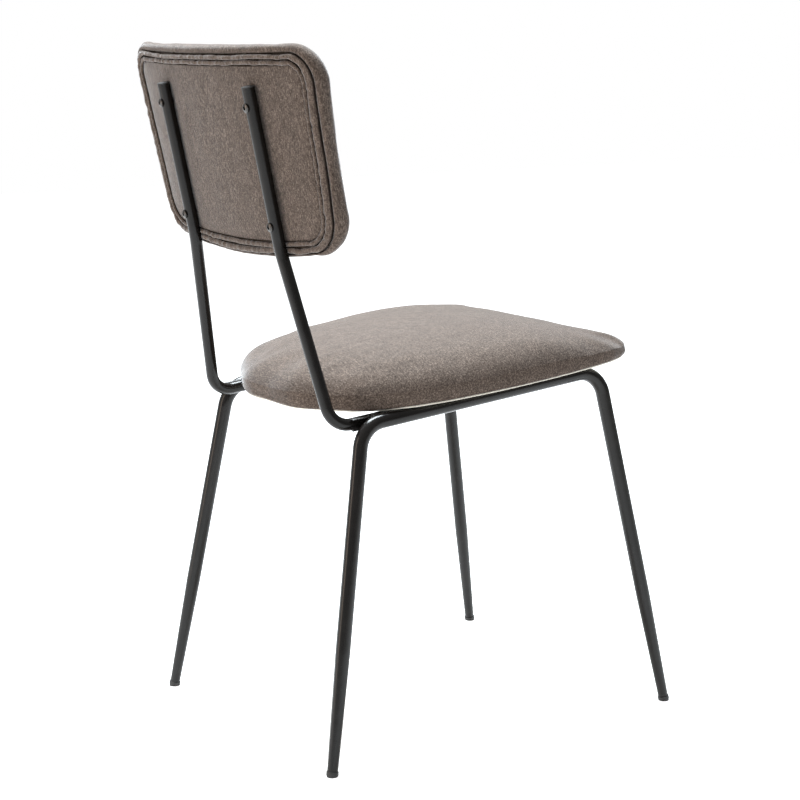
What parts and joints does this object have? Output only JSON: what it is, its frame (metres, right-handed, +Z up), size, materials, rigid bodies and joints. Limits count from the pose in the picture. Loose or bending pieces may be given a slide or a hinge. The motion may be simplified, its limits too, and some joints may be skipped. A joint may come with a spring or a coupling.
{
  "type": "dining chair",
  "caption": "Upholstered dining chair: bent steel tube frame with splayed tapered legs, a round-backed seat pad and a curved padded back on exposed uprights.",
  "frame": {"origin": "on the floor under the middle of the chair's bounding box", "axes": "+Z up; the sitter faces -Y, so the back is at +Y; +X is the sitter's left"},
  "size_m": [0.452, 0.5524, 0.8485],
  "materials": {
    "black_powder_coat": "satin",
    "black_plastic": "satin",
    "seat_fabric": "matte",
    "back_fabric": "matte",
    "welt_fabric": "matte",
    "lining": "matte",
    "foam": "matte",
    "plywood": "matte",
    "zinc_steel": "satin",
    "black_zinc": "satin"
  },
  "bodies": {
    "root": {"left_side_frame": "black_powder_coat", "right_side_frame": "black_powder_coat", "left_back_upright": "black_powder_coat", "right_back_upright": "black_powder_coat", "front_cross_rail": "black_powder_coat", "rear_cross_rail": "black_powder_coat", "seat_mounting_tabs": "black_powder_coat", "weld_beads": "black_powder_coat", "front_left_glide": "black_plastic", "front_right_glide": "black_plastic", "rear_left_glide": "black_plastic", "rear_right_glide": "black_plastic", "left_upright_cap": "black_plastic", "right_upright_cap": "black_plastic", "seat_board": "plywood", "seat_foam": "foam", "seat_cover": "seat_fabric", "seat_dust_cover": "lining", "seat_staples": "zinc_steel", "seat_t_nuts": "zinc_steel", "seat_screws": "black_zinc", "back_board": "plywood", "back_foam": "foam", "back_cover": "back_fabric", "back_rear_panel": "back_fabric", "back_inner_welt": "welt_fabric", "back_outer_welt": "welt_fabric", "back_t_nuts": "zinc_steel", "back_screws": "black_zinc"}
  },
  "joints": []
}
